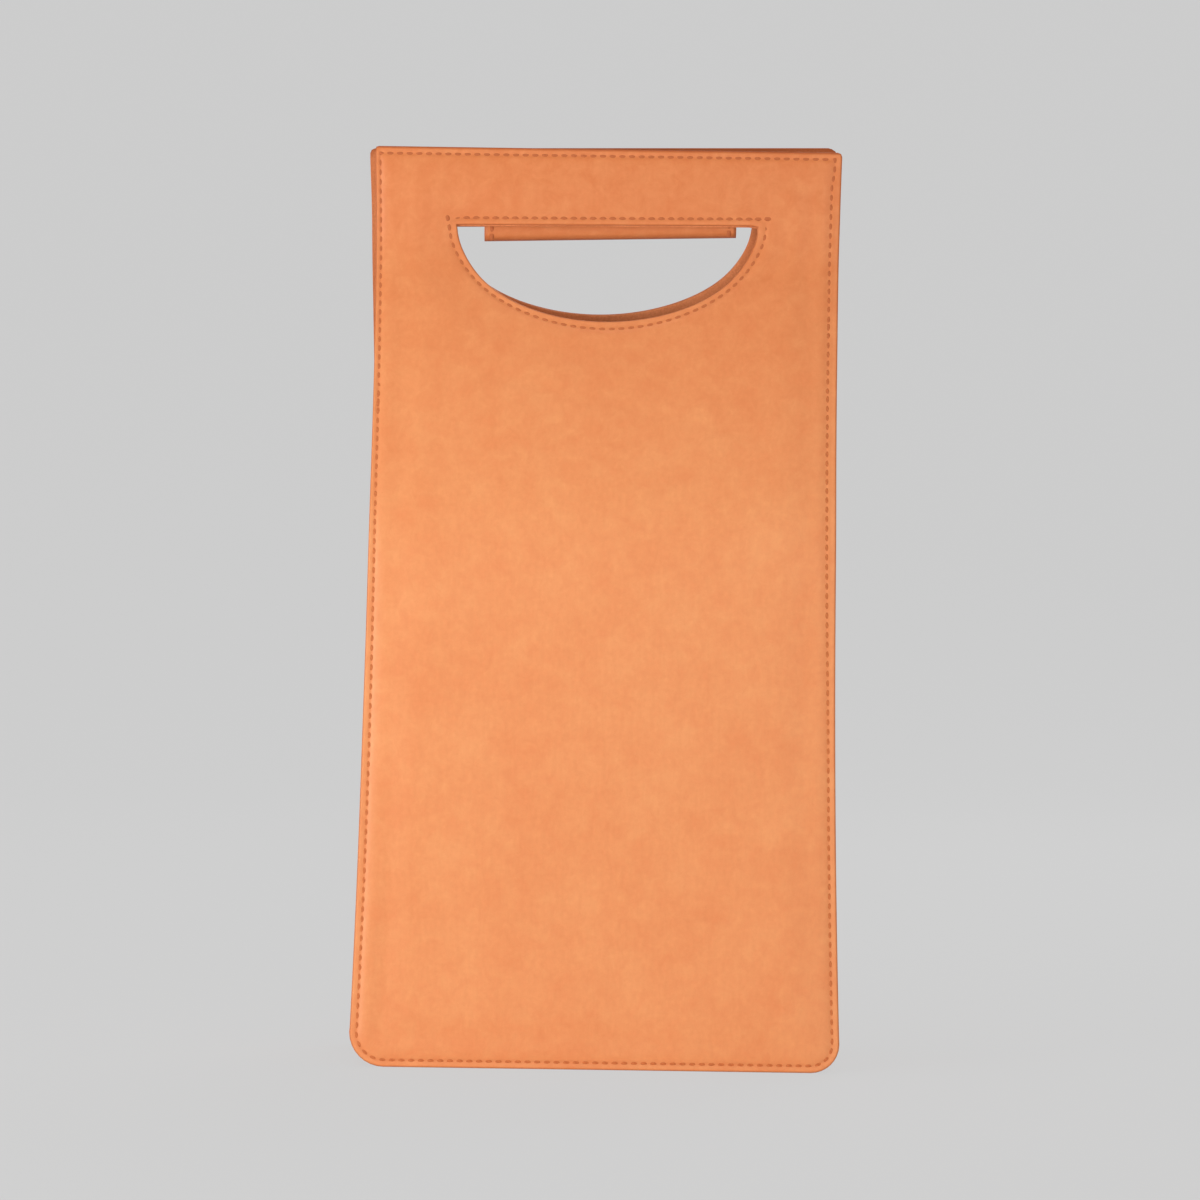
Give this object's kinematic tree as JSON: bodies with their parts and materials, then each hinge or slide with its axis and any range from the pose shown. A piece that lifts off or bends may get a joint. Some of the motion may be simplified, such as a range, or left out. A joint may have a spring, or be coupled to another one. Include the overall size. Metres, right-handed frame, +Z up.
{
  "type": "leather wine tote",
  "caption": "Tall stitched leather tote for wine bottles, with a D-shaped hand hole in each panel, folding gusset sides, an inner divider and a snap flap between the grips.",
  "frame": {"origin": "middle of the base, at the height of the surface it stands on", "axes": "+Z up, +X to the right seen from the front, the front panel faces -Y"},
  "size_m": [0.198, 0.0888, 0.374],
  "materials": {
    "leather": "smooth vegetable-tanned leather, satin, burnished edges",
    "lining": "thin split leather lining, matte",
    "thread": "waxed sewing thread",
    "snap_metal": "polished brass",
    "board": "pressed grey board"
  },
  "bodies": {
    "body": {"front_leather_lower": "leather", "front_lining_lower": "lining", "back_leather_lower": "leather", "back_lining_lower": "lining", "gusset_strip": "leather", "gusset_lining": "lining", "gusset_top_left": "leather", "gusset_top_right": "leather", "base_board": "board", "base_cover": "lining", "bottle_divider": "leather", "front_stitches_lower": "thread", "back_stitches_lower": "thread"},
    "front_handle": {"front_leather_upper": "leather", "front_lining_upper": "lining", "snap_studs": "snap_metal", "front_stitches_upper": "thread", "front_stitches_hole": "thread"},
    "back_handle": {"back_leather_upper": "leather", "back_lining_upper": "lining", "flap_sewn_leather": "leather", "flap_sewn_lining": "lining", "back_stitches_upper": "thread", "back_stitches_hole": "thread", "flap_stitches_sewn": "thread"},
    "flap": {"flap_free_leather": "leather", "flap_free_lining": "lining", "snap_sockets": "snap_metal", "snap_caps": "snap_metal", "flap_stitches_free": "thread"}
  },
  "joints": [
    {"name": "front_open", "type": "hinge", "parent": "body", "child": "front_handle", "pos_m": [0, -0.044, 0.196], "axis": [1, 0, 0], "range_deg": [0, 15], "deforming": ["gusset_top_left", "gusset_top_right"]},
    {"name": "back_open", "type": "hinge", "parent": "body", "child": "back_handle", "pos_m": [0, 0.044, 0.196], "axis": [-1, 0, 0], "range_deg": [0, 15], "deforming": ["gusset_top_left", "gusset_top_right"]},
    {"name": "flap_swing", "type": "hinge", "parent": "back_handle", "child": "flap", "pos_m": [0, -0.0007, 0.3409], "axis": [1, 0, 0], "range_deg": [0, 60]}
  ],
  "couplings": [
    {"joint": "flap_swing", "follows": "front_open", "ratio": 4}
  ]
}
